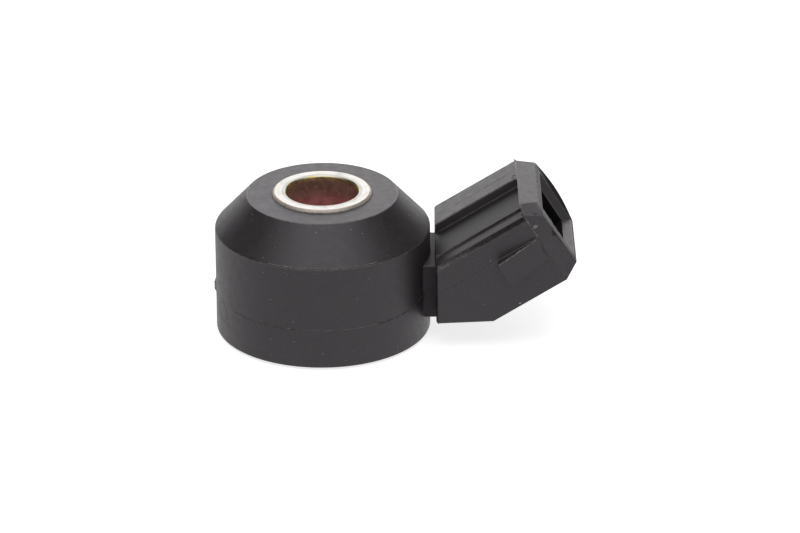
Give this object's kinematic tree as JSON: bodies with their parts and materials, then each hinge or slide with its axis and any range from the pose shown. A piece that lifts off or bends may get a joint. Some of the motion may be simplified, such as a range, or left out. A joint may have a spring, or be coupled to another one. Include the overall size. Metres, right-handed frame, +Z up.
{
  "type": "engine knock sensor",
  "caption": "Round bolt-through engine knock sensor: a steel bush in a moulded body with a cone top and a keyed plug socket tilted up at its side.",
  "frame": {"origin": "centre of the bush's bore at the contact face that stands on the engine", "axes": "+Z up the bolt axis, away from the engine; +X towards the plug socket"},
  "size_m": [0.0418, 0.025, 0.0176],
  "materials": {
    "moulded_plastic": "dark grey glass-filled nylon, satin from the mould, worn light on its edges",
    "bush_steel": "plated steel, bright at the bolt seat, with brown stains in the bore",
    "insulation": "amber polyimide film",
    "contact_brass": "tinned brass sheet",
    "piezo_ceramic": "sintered ceramic with silvered faces",
    "mass_steel": "turned steel",
    "spring_steel": "blued spring steel",
    "terminal_tin": "tin-plated brass",
    "resistor_body": "lacquered ceramic chip with tinned ends"
  },
  "bodies": {
    "root": {"housing": "moulded_plastic", "bush": "bush_steel", "insulating_sleeve": "insulation", "lower_insulating_washer": "insulation", "lower_contact_washer": "contact_brass", "piezo_ring": "piezo_ceramic", "upper_contact_washer": "contact_brass", "upper_insulating_washer": "insulation", "seismic_mass": "mass_steel", "disc_spring": "spring_steel", "clamp_nut": "mass_steel", "terminal_blade_left": "terminal_tin", "terminal_blade_right": "terminal_tin", "discharge_resistor": "resistor_body"}
  },
  "joints": []
}
